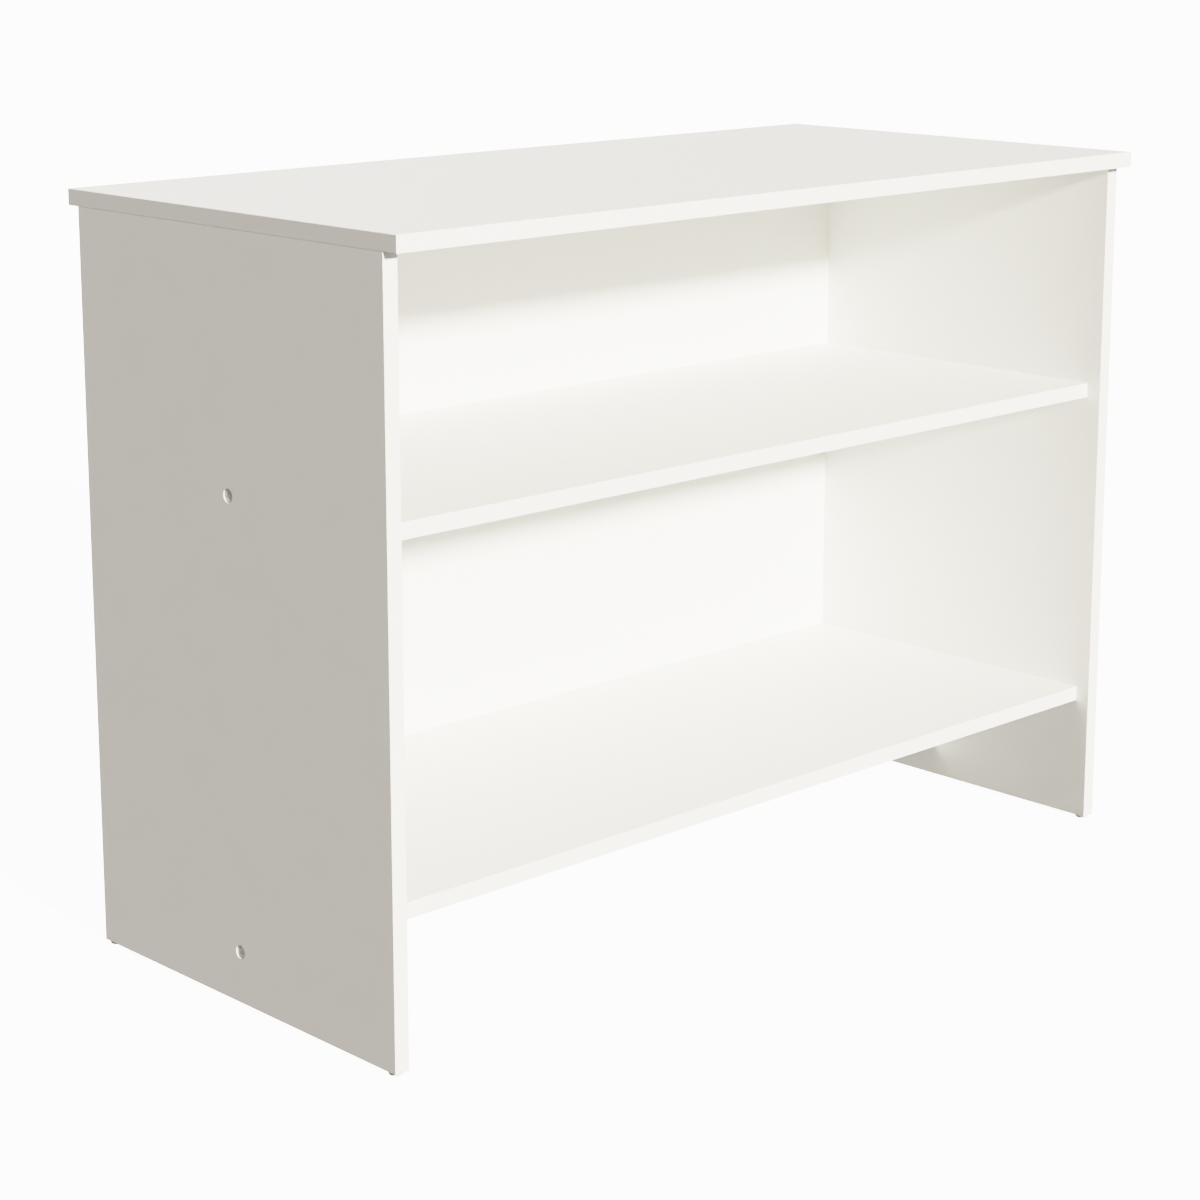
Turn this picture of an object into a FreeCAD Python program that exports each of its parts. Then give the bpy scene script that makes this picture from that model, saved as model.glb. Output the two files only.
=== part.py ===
import FreeCAD, Part
import os
import Sketcher

# Desk hutch: two side panels, an overhanging top, two fixed shelves, a centre rail under the
# lower shelf and a thin back panel set in from the rear. Flat-pack construction in edge-banded
# 16 mm melamine board. Millimetres, +Z up, front towards -Y, origin at the bottom centre of
# the whole hutch, on the surface that the glides stand on.

SIZES = {
    # whole hutch
    "overall_width": 1020,
    "overall_depth": 484,
    "overall_height": 750,
    "board": 16,
    "front_overhang": 18,
    "back_overhang": 16,
    # shelves and rail
    "shelf_setback": 17,
    "middle_shelf_low": 480.5,
    "bottom_shelf_low": 136,
    "rail_low": 38,
    # edge bands
    "band": 1,
    "band_round": 0.6,
    # back panel and the groove that holds it
    "back_recess": 54,
    "back_board": 3,
    "back_in_groove": 5.5,
    "groove_width": 3.2,
    "groove_depth": 6,
    # side screws, sunk under cover caps
    "recess_diameter": 13.5,
    "recess_depth": 1.8,
    "cap_diameter": 13.4,
    "cap_thickness": 1.6,
    "cap_chamfer": 0.15,
    "cap_stem_diameter": 3.4,
    "cap_stem_length": 1.8,
    "screw_diameter": 5,
    "screw_length": 48,
    "screw_point": 4,
    "screw_head_diameter": 10,
    "screw_head_thickness": 3,
    "screw_hex": 4,
    "screw_hex_depth": 2.2,
    "screw_clearance": 0.2,
    "screw_above_shelf_middle": 2.5,
    "rail_screw_level": 54,
    # dowels
    "dowel_diameter": 8,
    "dowel_length": 30,
    "dowel_in_face": 11,
    "bore_room": 0.5,
    "dowel_chamfer": 0.8,
    "dowel_edge_distance": 37,
    "rail_dowel_level": 108,
    "rail_dowel_spread": 320,
    # cam fittings
    "cam_diameter": 15,
    "cam_height": 12,
    "cam_distance": 34,
    "cam_edge_distance": 69,
    "cam_cross_length": 9,
    "cam_cross_width": 1.7,
    "cam_cross_depth": 2.5,
    "cam_channel": 7.4,
    "cam_clearance": 0.2,
    "bolt_thread_diameter": 5,
    "bolt_thread_length": 11,
    "bolt_collar_diameter": 7.6,
    "bolt_collar_thickness": 3,
    "bolt_shank_diameter": 6,
    "bolt_neck_diameter": 4.2,
    "bolt_neck_length": 3,
    "bolt_head_diameter": 6.8,
    "bolt_head_thickness": 2.4,
    # steel angle brackets under the top
    "bracket_leg": 25,
    "bracket_width": 20,
    "bracket_plate": 2,
    "bracket_bend": 3,
    "bracket_corner": 4,
    "bracket_hole": 4.2,
    "bracket_hole_distance": 15,
    "bracket_front": -60,
    "bracket_rear": 130,
    "wood_screw_diameter": 3.5,
    "wood_screw_length": 13,
    "wood_screw_point": 3,
    "wood_screw_head": 7,
    "wood_screw_head_height": 2.2,
    "wood_screw_dome": 0.9,
    "wood_screw_slot": 1,
    "wood_screw_slot_length": 4.4,
    "wood_screw_slot_depth": 1.2,
    # back panel nails
    "nail_diameter": 1.6,
    "nail_length": 20,
    "nail_point": 2,
    "nail_head": 4,
    "nail_head_thickness": 0.8,
    "nail_spacing": 300,
    # glides
    "glide_height": 3,
    "glide_diameter": 14,
    "glide_inset": 9,
    "glide_round": 1.2,
    "glide_well": 6,
    "glide_well_depth": 1.4,
    "pin_diameter": 1.8,
    "pin_length": 14,
    "pin_point": 2,
    "pin_head": 5,
    "pin_head_thickness": 0.7,
}

NAILS_PER_SHELF = 4
HEX_CORNERS = 6
HEX_TURN = 30
FULL_TURN = 360
SMALLEST_CUT = 0.1
TOLERANCE = 1e-4

# Derived places, as expressions on the sheet.
INNER = "(sizes.overall_width / 2 - sizes.board)"
OUTER = "(sizes.overall_width / 2)"
TOP_LOW = "(sizes.overall_height - sizes.board)"
SIDE_FRONT = "(sizes.front_overhang - sizes.overall_depth / 2)"
SIDE_BACK = "(sizes.overall_depth / 2 - sizes.back_overhang)"
SIDE_MIDDLE = "((sizes.front_overhang - sizes.back_overhang) / 2)"
SHELF_FRONT = "(sizes.front_overhang + sizes.shelf_setback - sizes.overall_depth / 2)"
BACK_FACE = "(sizes.overall_depth / 2 - sizes.back_overhang - sizes.back_recess)"
MIDDLE_SCREW = "(sizes.middle_shelf_low + sizes.board / 2 + sizes.screw_above_shelf_middle)"
RAIL_SCREW = "sizes.rail_screw_level"
HEAD_SEAT = "(sizes.recess_depth + sizes.cap_thickness)"
GROOVE_BACK = "(" + BACK_FACE + " + sizes.groove_width)"
DOWEL_IN_EDGE = "(sizes.dowel_length - sizes.dowel_in_face + sizes.bore_room)"
DOWEL_IN_FACE_BORE = "(sizes.dowel_in_face + sizes.bore_room)"
SCREW_IN_EDGE = "(sizes.screw_length + " + HEAD_SEAT + " - sizes.board + sizes.bore_room)"
SHELF_DOWEL_ROWS = (
    "(" + SHELF_FRONT + " + sizes.dowel_edge_distance)",
    "(" + BACK_FACE + " - sizes.dowel_edge_distance)",
)
TOP_DOWEL_ROWS = (
    "(" + SIDE_FRONT + " + sizes.dowel_edge_distance)",
    "(" + SIDE_BACK + " - sizes.dowel_edge_distance / 2)",
)
CAM_ROWS = (
    "(" + SHELF_FRONT + " + sizes.cam_edge_distance)",
    "(" + BACK_FACE + " - sizes.cam_edge_distance)",
)
BRACKET_ROWS = ("sizes.bracket_front", "sizes.bracket_rear")
GLIDE_ROWS = (
    "(" + SIDE_FRONT + " + sizes.glide_inset)",
    "(" + SIDE_BACK + " - sizes.glide_inset)",
)

doc = FreeCAD.newDocument("desk_hutch")
sheet = doc.addObject("Spreadsheet::Sheet", "sizes")
nodes = []


def fill_sheet():
    for row, (name, size) in enumerate(SIZES.items(), start=1):
        sheet.set("A%d" % row, name)
        sheet.set("B%d" % row, str(size))
        sheet.setAlias("B%d" % row, name)
    doc.recompute()


def worth(expression):
    """The number that an expression on the sheet has now."""
    return float(sheet.evalExpression(expression))


# ---------------------------------------------------------------- modelling helpers


def new_body(label, x="0", y="0", z="0"):
    body = doc.addObject("PartDesign::Body", label)
    body.Label = label
    body.AllowCompound = True
    for axis, expression in zip("xyz", (x, y, z)):
        body.setExpression("Placement.Base." + axis, expression)
    nodes.append(body)
    return body


def origin_part(body, role):
    return next(part for part in body.Origin.OriginFeatures if part.Role == role)


def new_sketch(body, name, plane, offset="0"):
    sketch = body.newObject("Sketcher::SketchObject", name)
    sketch.AttachmentSupport = [(origin_part(body, plane), "")]
    sketch.MapMode = "FlatFace"
    sketch.setExpression("AttachmentOffset.Base.z", offset)
    return sketch


def hold(sketch, kind, *where):
    """One driven constraint: the last entry is its expression."""
    expression = where[-1]
    index = sketch.addConstraint(Sketcher.Constraint(kind, *where[:-1], worth(expression)))
    sketch.setExpression("Constraints[%d]" % index, expression)


def hold_point(sketch, line, point, x, y):
    hold(sketch, "DistanceX", -1, 1, line, point, x)
    hold(sketch, "DistanceY", -1, 1, line, point, y)


def draw_outline(sketch, points):
    """A closed outline of straight lines through points given as pairs of expressions."""
    spots = [FreeCAD.Vector(worth(x), worth(y), 0) for x, y in points]
    count = len(spots)
    lines = []
    for index in range(count):
        line = Part.LineSegment(spots[index], spots[(index + 1) % count])
        lines.append(sketch.addGeometry(line, False))
    for index in range(count):
        ends = (lines[index], 2, lines[(index + 1) % count], 1)
        sketch.addConstraint(Sketcher.Constraint("Coincident", *ends))
    for line, (x, y) in zip(lines, points):
        hold_point(sketch, line, 1, x, y)


def draw_rectangle(sketch, low_x, high_x, low_y, high_y):
    draw_outline(sketch, ((low_x, low_y), (high_x, low_y), (high_x, high_y), (low_x, high_y)))


def draw_circle(sketch, x, y, diameter):
    centre = FreeCAD.Vector(worth(x), worth(y), 0)
    circle = Part.Circle(centre, FreeCAD.Vector(0, 0, 1), worth(diameter) / 2)
    index = sketch.addGeometry(circle, False)
    hold_point(sketch, index, 3, x, y)
    hold(sketch, "Diameter", index, diameter)


def pad(body, sketch, length, backwards=False):
    feature = body.newObject("PartDesign::Pad", sketch.Name + "_pad")
    feature.Profile = sketch
    feature.setExpression("Length", length)
    feature.Reversed = backwards
    doc.recompute()
    return feature


def pocket(body, sketch, depth, with_normal=False):
    """Cut against the sketch's normal, or with it; a cut that removes nothing is an error."""
    before = body.Shape.Volume
    feature = body.newObject("PartDesign::Pocket", sketch.Name + "_cut")
    feature.Profile = sketch
    feature.setExpression("Length", depth)
    feature.Reversed = with_normal
    doc.recompute()
    if feature.Shape.Volume > before - SMALLEST_CUT:
        raise RuntimeError(sketch.Name + " cuts nothing")
    return feature


def mirror_across(body, feature, plane):
    mirrored = body.newObject("PartDesign::Mirrored", feature.Name + "_mirror")
    mirrored.Originals = [feature]
    mirrored.MirrorPlane = (origin_part(body, plane), [""])
    body.Tip = mirrored
    doc.recompute()
    return mirrored


def dress(body, kind, feature, name, measure, size, wanted):
    """A fillet or chamfer on the edges of a feature that the function wanted picks."""
    edges = []
    for index, edge in enumerate(feature.Shape.Edges, start=1):
        if wanted(edge):
            edges.append("Edge%d" % index)
    dressing = body.newObject("PartDesign::" + kind, name)
    dressing.Base = (feature, edges)
    dressing.setExpression(measure, size)
    doc.recompute()
    return dressing


def turn(body, name, plane, axis, points, offset="0"):
    """A solid of revolution: points turned about one of the sketch's own axes."""
    sketch = new_sketch(body, name, plane, offset)
    draw_outline(sketch, points)
    turned = body.newObject("PartDesign::Revolution", name + "_turned")
    turned.Profile = sketch
    turned.ReferenceAxis = (sketch, [axis])
    turned.Angle = FULL_TURN
    doc.recompute()
    return turned


def draw_cross(sketch, x, y, length, width):
    """The outline of a cross recess."""
    long_half = "(" + length + " / 2)"
    half = "(" + width + " / 2)"
    corners = (
        (half, half), (half, long_half), ("-" + half, long_half), ("-" + half, half),
        ("-" + long_half, half), ("-" + long_half, "-" + half), ("-" + half, "-" + half),
        ("-" + half, "-" + long_half), (half, "-" + long_half), (half, "-" + half),
        (long_half, "-" + half), (long_half, half),
    )
    draw_outline(sketch, [(x + " + " + across, y + " + " + up) for across, up in corners])


def draw_hexagon(sketch, x, y, across_flats):
    """A regular hexagon with two flats upright."""
    radius = "(" + across_flats + " / sqrt(3))"
    corners = []
    for corner in range(HEX_CORNERS):
        angle = FULL_TURN * corner / HEX_CORNERS + HEX_TURN
        across = "%s + %s * cos(%g deg)" % (x, radius, angle)
        up = "%s + %s * sin(%g deg)" % (y, radius, angle)
        corners.append((across, up))
    draw_outline(sketch, corners)


def repeat_whole(body, axis, length, count=2):
    """Repeat everything in the body along one of its own axes."""
    row = body.newObject("PartDesign::LinearPattern", body.Name + "_along_" + axis)
    row.TransformMode = "Whole shape"
    row.Direction = (origin_part(body, axis), [""])
    row.setExpression("Length", length)
    row.Occurrences = count
    body.Tip = row
    doc.recompute()


def mirror_whole(body):
    """Mirror everything in the body across its own YZ plane."""
    mirrored = body.newObject("PartDesign::Mirrored", body.Name + "_mirror")
    mirrored.TransformMode = "Whole shape"
    mirrored.MirrorPlane = (origin_part(body, "YZ_Plane"), [""])
    body.Tip = mirrored
    doc.recompute()


def same(one, other):
    return abs(one - other) < TOLERANCE


# ---------------------------------------------------------------- boards


def top_panel():
    body = new_body("top_panel", z=TOP_LOW)
    half_width = "(sizes.overall_width / 2 - sizes.band)"
    half_depth = "(sizes.overall_depth / 2 - sizes.band)"
    outline = new_sketch(body, "top_outline", "XY_Plane")
    draw_rectangle(outline, "-" + half_width, half_width, "-" + half_depth, half_depth)
    pad(body, outline, "sizes.board")

    groove = new_sketch(body, "top_groove", "XY_Plane")
    reach = "(" + INNER + " + sizes.groove_depth)"
    draw_rectangle(groove, "-" + reach, reach, BACK_FACE, GROOVE_BACK)
    pocket(body, groove, "sizes.groove_depth", with_normal=True)

    side_line = "(" + INNER + " + sizes.board / 2)"
    dowels = new_sketch(body, "top_dowel_bores", "XY_Plane")
    for sign in ("-", ""):
        for row in TOP_DOWEL_ROWS:
            draw_circle(dowels, sign + side_line, row, "sizes.dowel_diameter")
    pocket(body, dowels, DOWEL_IN_FACE_BORE, with_normal=True)

    screw_line = "(" + INNER + " - sizes.bracket_hole_distance)"
    pilots = new_sketch(body, "top_screw_pilots", "XY_Plane")
    for sign in ("-", ""):
        for row in BRACKET_ROWS:
            draw_circle(pilots, sign + screw_line, row, "sizes.wood_screw_diameter")
    pocket(body, pilots, "(sizes.wood_screw_length - sizes.bracket_plate)", with_normal=True)


def side_panel(name, sign):
    """One side. It is drawn on its inner face, which the body's own YZ plane lies on."""
    outwards_is_plus = sign == ""
    body = new_body(name, x=sign + INNER)
    low = "(sizes.glide_height + sizes.band)"
    outline = new_sketch(body, name + "_outline", "YZ_Plane")
    front = "(" + SIDE_FRONT + " + sizes.band)"
    back = "(" + SIDE_BACK + " - sizes.band)"
    draw_rectangle(outline, front, back, low, TOP_LOW)
    pad(body, outline, "sizes.board", backwards=not outwards_is_plus)

    groove = new_sketch(body, name + "_groove", "YZ_Plane")
    draw_rectangle(groove, BACK_FACE, GROOVE_BACK, "sizes.bottom_shelf_low", TOP_LOW)
    pocket(body, groove, "sizes.groove_depth", with_normal=outwards_is_plus)

    dowels = new_sketch(body, name + "_dowel_bores", "YZ_Plane")
    for shelf_low in ("sizes.middle_shelf_low", "sizes.bottom_shelf_low"):
        for row in SHELF_DOWEL_ROWS:
            level = "(" + shelf_low + " + sizes.board / 2)"
            draw_circle(dowels, row, level, "sizes.dowel_diameter")
    draw_circle(dowels, SIDE_MIDDLE, "sizes.rail_dowel_level", "sizes.dowel_diameter")
    pocket(body, dowels, DOWEL_IN_FACE_BORE, with_normal=outwards_is_plus)

    bolts = new_sketch(body, name + "_cam_bolt_bores", "YZ_Plane")
    for row in CAM_ROWS:
        level = "(sizes.bottom_shelf_low + sizes.board / 2)"
        draw_circle(bolts, row, level, "sizes.bolt_thread_diameter")
    depth = "(sizes.bolt_thread_length + sizes.bore_room)"
    pocket(body, bolts, depth, with_normal=outwards_is_plus)

    pilots = new_sketch(body, name + "_bracket_pilots", "YZ_Plane")
    for row in BRACKET_ROWS:
        level = "(" + TOP_LOW + " - sizes.bracket_hole_distance)"
        draw_circle(pilots, row, level, "sizes.wood_screw_diameter")
    depth = "(sizes.wood_screw_length - sizes.bracket_plate)"
    pocket(body, pilots, depth, with_normal=outwards_is_plus)

    outer_face = sign + "sizes.board"
    steps = (
        ("recess", "sizes.recess_diameter", HEAD_SEAT),
        ("head", "(sizes.screw_head_diameter + sizes.screw_clearance)",
         "(" + HEAD_SEAT + " + sizes.screw_head_thickness)"),
        ("shank", "(sizes.screw_diameter + sizes.screw_clearance)", "(2 * sizes.board)"),
    )
    for step, diameter, depth in steps:
        bores = new_sketch(body, name + "_screw_" + step, "YZ_Plane", outer_face)
        for level in (MIDDLE_SCREW, RAIL_SCREW):
            draw_circle(bores, SIDE_MIDDLE, level, diameter)
        pocket(body, bores, depth, with_normal=not outwards_is_plus)

    middle = sign + "(sizes.board / 2)"
    edge_bores = new_sketch(body, name + "_top_edge_bores", "XY_Plane", TOP_LOW)
    for row in TOP_DOWEL_ROWS:
        draw_circle(edge_bores, middle, row, "sizes.dowel_diameter")
    pocket(body, edge_bores, DOWEL_IN_EDGE)

    pin_bores = new_sketch(body, name + "_pin_bores", "XY_Plane", low)
    for row in GLIDE_ROWS:
        draw_circle(pin_bores, middle, row, "sizes.pin_diameter")
    pocket(body, pin_bores, "sizes.pin_length", with_normal=True)


def shelf_board(name, low):
    """The two shelves are the same board with different bores, so both start here."""
    body = new_body(name, z=low)
    outline = new_sketch(body, name + "_outline", "XY_Plane")
    front = "(" + SHELF_FRONT + " + sizes.band)"
    draw_rectangle(outline, "-" + INNER, INNER, front, BACK_FACE)
    pad(body, outline, "sizes.board")

    dowels = new_sketch(body, name + "_dowel_bores", "YZ_Plane", INNER)
    for row in SHELF_DOWEL_ROWS:
        draw_circle(dowels, row, "(sizes.board / 2)", "sizes.dowel_diameter")
    mirror_across(body, pocket(body, dowels, DOWEL_IN_EDGE), "YZ_Plane")

    nails = new_sketch(body, name + "_nail_bores", "XZ_Plane", "-" + BACK_FACE)
    for index in range(NAILS_PER_SHELF):
        across = "(sizes.nail_spacing * %g)" % (index - (NAILS_PER_SHELF - 1) / 2)
        draw_circle(nails, across, "(sizes.board / 2)", "sizes.nail_diameter")
    pocket(body, nails, "sizes.nail_length", with_normal=True)
    return body


def middle_shelf():
    body = shelf_board("middle_shelf", "sizes.middle_shelf_low")
    bore = new_sketch(body, "middle_shelf_screw_bore", "YZ_Plane", INNER)
    level = "(sizes.board / 2 + sizes.screw_above_shelf_middle)"
    draw_circle(bore, SIDE_MIDDLE, level, "sizes.screw_diameter")
    mirror_across(body, pocket(body, bore, SCREW_IN_EDGE), "YZ_Plane")


def bottom_shelf():
    body = shelf_board("bottom_shelf", "sizes.bottom_shelf_low")
    channels = new_sketch(body, "bottom_shelf_bolt_bores", "YZ_Plane", INNER)
    for row in CAM_ROWS:
        draw_circle(channels, row, "(sizes.board / 2)", "sizes.dowel_diameter")
    mirror_across(body, pocket(body, channels, "sizes.cam_distance"), "YZ_Plane")

    cams = new_sketch(body, "bottom_shelf_cam_bores", "XY_Plane")
    for sign in ("-", ""):
        for row in CAM_ROWS:
            line = sign + "(" + INNER + " - sizes.cam_distance)"
            draw_circle(cams, line, row, "(sizes.cam_diameter + sizes.cam_clearance)")
    pocket(body, cams, "(sizes.cam_height + sizes.cam_clearance)", with_normal=True)

    rail_dowels = new_sketch(body, "bottom_shelf_rail_dowel_bores", "XY_Plane")
    for sign in ("-", ""):
        line = sign + "sizes.rail_dowel_spread"
        draw_circle(rail_dowels, line, SIDE_MIDDLE, "sizes.dowel_diameter")
    pocket(body, rail_dowels, DOWEL_IN_FACE_BORE, with_normal=True)


def centre_rail():
    """An upright board under the middle of the lower shelf, from side to side."""
    body = new_body("centre_rail", y=SIDE_MIDDLE)
    outline = new_sketch(body, "rail_outline", "YZ_Plane", "-" + INNER)
    low = "(sizes.rail_low + sizes.band)"
    half = "(sizes.board / 2)"
    draw_rectangle(outline, "-" + half, half, low, "sizes.bottom_shelf_low")
    pad(body, outline, "(2 * " + INNER + ")")

    bores = (
        ("screw", RAIL_SCREW, "sizes.screw_diameter", SCREW_IN_EDGE),
        ("dowel", "sizes.rail_dowel_level", "sizes.dowel_diameter", DOWEL_IN_EDGE),
    )
    for kind, level, diameter, depth in bores:
        bore = new_sketch(body, "rail_" + kind + "_bore", "YZ_Plane", INNER)
        draw_circle(bore, "0", level, diameter)
        mirror_across(body, pocket(body, bore, depth), "YZ_Plane")

    top_bores = new_sketch(body, "rail_top_bores", "XY_Plane", "sizes.bottom_shelf_low")
    for sign in ("-", ""):
        draw_circle(top_bores, sign + "sizes.rail_dowel_spread", "0", "sizes.dowel_diameter")
    pocket(body, top_bores, DOWEL_IN_EDGE)


def back_panel():
    """Thin board in grooves in the sides and top, nailed to both shelves' rear edges."""
    body = new_body("back_panel", y=BACK_FACE)
    reach = "(" + INNER + " + sizes.back_in_groove)"
    high = "(" + TOP_LOW + " + sizes.back_in_groove)"
    outline = new_sketch(body, "back_outline", "XZ_Plane")
    draw_rectangle(outline, "-" + reach, reach, "sizes.bottom_shelf_low", high)
    pad(body, outline, "sizes.back_board", backwards=True)

    nails = new_sketch(body, "back_nail_holes", "XZ_Plane")
    for low in ("sizes.middle_shelf_low", "sizes.bottom_shelf_low"):
        for index in range(NAILS_PER_SHELF):
            across = "(sizes.nail_spacing * %g)" % (index - (NAILS_PER_SHELF - 1) / 2)
            draw_circle(nails, across, "(" + low + " + sizes.board / 2)", "sizes.nail_diameter")
    pocket(body, nails, "(2 * sizes.back_board)")


# ---------------------------------------------------------------- edge bands


def edge_band(name, low, high, long_axis, face_axis, face_is_low, wraps_ends):
    """A strip between two corners. Its outer long edges are rounded, and where its ends
    show (wraps_ends) so are all its edges that don't touch the board."""
    body = new_body(name, *low)
    box = body.newObject("PartDesign::AdditiveBox", name + "_strip")
    for measure, one, other in zip(("Length", "Width", "Height"), low, high):
        box.setExpression(measure, "(" + other + ") - (" + one + ")")
    doc.recompute()
    bounds = box.Shape.BoundBox
    limits = {
        "x": (bounds.XMin, bounds.XMax),
        "y": (bounds.YMin, bounds.YMax),
        "z": (bounds.ZMin, bounds.ZMax),
    }
    near, far = limits[face_axis]
    outer, inner = (near, far) if face_is_low else (far, near)

    def wanted(edge):
        middle = getattr(edge.CenterOfMass, face_axis)
        if wraps_ends:
            return not same(middle, inner)
        along = abs(getattr(edge.tangentAt(edge.FirstParameter), long_axis))
        return same(middle, outer) and same(along, 1)

    dress(body, "Fillet", box, name + "_round", "Radius", "sizes.band_round", wanted)


def top_bands():
    half_width = OUTER
    half_depth = "(sizes.overall_depth / 2)"
    high = "sizes.overall_height"
    core_width = "(" + half_width + " - sizes.band)"
    core_depth = "(" + half_depth + " - sizes.band)"
    edge_band("top_front_edge_band",
              ("-" + half_width, "-" + half_depth, TOP_LOW),
              (half_width, "-" + core_depth, high), "x", "y", True, True)
    edge_band("top_back_edge_band",
              ("-" + half_width, core_depth, TOP_LOW),
              (half_width, half_depth, high), "x", "y", False, True)
    edge_band("top_left_edge_band",
              ("-" + half_width, "-" + core_depth, TOP_LOW),
              ("-" + core_width, core_depth, high), "y", "x", True, False)
    edge_band("top_right_edge_band",
              (core_width, "-" + core_depth, TOP_LOW),
              (half_width, core_depth, high), "y", "x", False, False)


def side_bands(prefix, low_x, high_x):
    low = "sizes.glide_height"
    front_core = "(" + SIDE_FRONT + " + sizes.band)"
    back_core = "(" + SIDE_BACK + " - sizes.band)"
    edge_band(prefix + "_front_edge_band", (low_x, SIDE_FRONT, low),
              (high_x, front_core, TOP_LOW), "z", "y", True, True)
    edge_band(prefix + "_back_edge_band", (low_x, back_core, low),
              (high_x, SIDE_BACK, TOP_LOW), "z", "y", False, True)
    name = prefix + "_bottom_edge_band"
    edge_band(name, (low_x, front_core, low),
              (high_x, back_core, "(" + low + " + sizes.band)"), "y", "z", True, False)
    body = nodes[-1]
    holes = new_sketch(body, name + "_holes", "XY_Plane")
    for row in GLIDE_ROWS:
        draw_circle(holes, "(sizes.board / 2)", row + " - " + front_core, "sizes.pin_diameter")
    pocket(body, holes, "(2 * sizes.band)", with_normal=True)


def shelf_band(name, low):
    edge_band(name, ("-" + INNER, SHELF_FRONT, low),
              (INNER, "(" + SHELF_FRONT + " + sizes.band)", "(" + low + " + sizes.board)"),
              "x", "y", True, False)


def rail_band():
    half = "(sizes.board / 2)"
    edge_band("centre_rail_edge_band",
              ("-" + INNER, "(" + SIDE_MIDDLE + " - " + half + ")", "sizes.rail_low"),
              (INNER, "(" + SIDE_MIDDLE + " + " + half + ")", "(sizes.rail_low + sizes.band)"),
              "x", "z", True, False)


# ---------------------------------------------------------------- dowels


def dowel_group(name, plane, offset, spots, mirrored):
    """Dowels that start on one plane, all the same way, with chamfered ends."""
    body = new_body(name)
    sketch = new_sketch(body, name + "_rounds", plane, offset)
    for across, up in spots:
        draw_circle(sketch, across, up, "sizes.dowel_diameter")
    pins = pad(body, sketch, "sizes.dowel_length")

    def round_end(edge):
        return edge.Curve.TypeId == "Part::GeomCircle"

    dress(body, "Chamfer", pins, name + "_ends", "Size", "sizes.dowel_chamfer", round_end)
    if mirrored:
        mirror_whole(body)


def dowels():
    edge_start = "(" + INNER + " + sizes.dowel_in_face - sizes.dowel_length)"
    middle_level = "(sizes.middle_shelf_low + sizes.board / 2)"
    bottom_level = "(sizes.bottom_shelf_low + sizes.board / 2)"
    dowel_group("middle_shelf_dowels", "YZ_Plane", edge_start,
                [(row, middle_level) for row in SHELF_DOWEL_ROWS], True)
    dowel_group("bottom_shelf_dowels", "YZ_Plane", edge_start,
                [(row, bottom_level) for row in SHELF_DOWEL_ROWS], True)
    dowel_group("rail_end_dowels", "YZ_Plane", edge_start,
                [(SIDE_MIDDLE, "sizes.rail_dowel_level")], True)
    rail_start = "(sizes.bottom_shelf_low + sizes.dowel_in_face - sizes.dowel_length)"
    dowel_group("rail_top_dowels", "XY_Plane", rail_start,
                [("sizes.rail_dowel_spread", SIDE_MIDDLE)], True)
    top_start = "(" + TOP_LOW + " + sizes.dowel_in_face - sizes.dowel_length)"
    side_line = "(" + INNER + " + sizes.board / 2)"
    dowel_group("top_panel_dowels", "XY_Plane", top_start,
                [(side_line, row) for row in TOP_DOWEL_ROWS], True)


# ---------------------------------------------------------------- side screws and caps


def side_screws():
    """Four screws through the sides: two into the middle shelf and two into the rail."""
    body = new_body("side_screws", y=SIDE_MIDDLE, z=RAIL_SCREW)
    head_out = "(" + OUTER + " - " + HEAD_SEAT + ")"
    head_in = "(" + head_out + " - sizes.screw_head_thickness)"
    tip = "(" + head_out + " - sizes.screw_length)"
    radius = "(sizes.screw_diameter / 2)"
    head_radius = "(sizes.screw_head_diameter / 2)"
    turn(body, "side_screw", "XZ_Plane", "H_Axis", (
        (tip, "0"),
        ("(" + tip + " + sizes.screw_point)", radius),
        (head_in, radius),
        (head_in, head_radius),
        (head_out, head_radius),
        (head_out, "0"),
    ))
    socket = new_sketch(body, "side_screw_socket", "YZ_Plane", head_out)
    draw_hexagon(socket, "0", "0", "sizes.screw_hex")
    pocket(body, socket, "sizes.screw_hex_depth")
    repeat_whole(body, "Z_Axis", "(" + MIDDLE_SCREW + " - " + RAIL_SCREW + ")")
    mirror_whole(body)


def side_screw_caps():
    """Plain caps over the side screws; each one's stem sits in a screw's hex socket."""
    body = new_body("side_screw_caps", y=SIDE_MIDDLE, z=RAIL_SCREW)
    face = "(" + OUTER + " - sizes.recess_depth)"
    seat = "(" + face + " - sizes.cap_thickness)"
    stem_end = "(" + seat + " - sizes.cap_stem_length)"
    stem_radius = "(sizes.cap_stem_diameter / 2)"
    radius = "(sizes.cap_diameter / 2)"
    turn(body, "side_screw_cap", "XZ_Plane", "H_Axis", (
        (stem_end, "0"),
        (stem_end, stem_radius),
        (seat, stem_radius),
        (seat, radius),
        ("(" + face + " - sizes.cap_chamfer)", radius),
        (face, "(" + radius + " - sizes.cap_chamfer)"),
        (face, "0"),
    ))
    repeat_whole(body, "Z_Axis", "(" + MIDDLE_SCREW + " - " + RAIL_SCREW + ")")
    mirror_whole(body)


# ---------------------------------------------------------------- cam fittings


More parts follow.
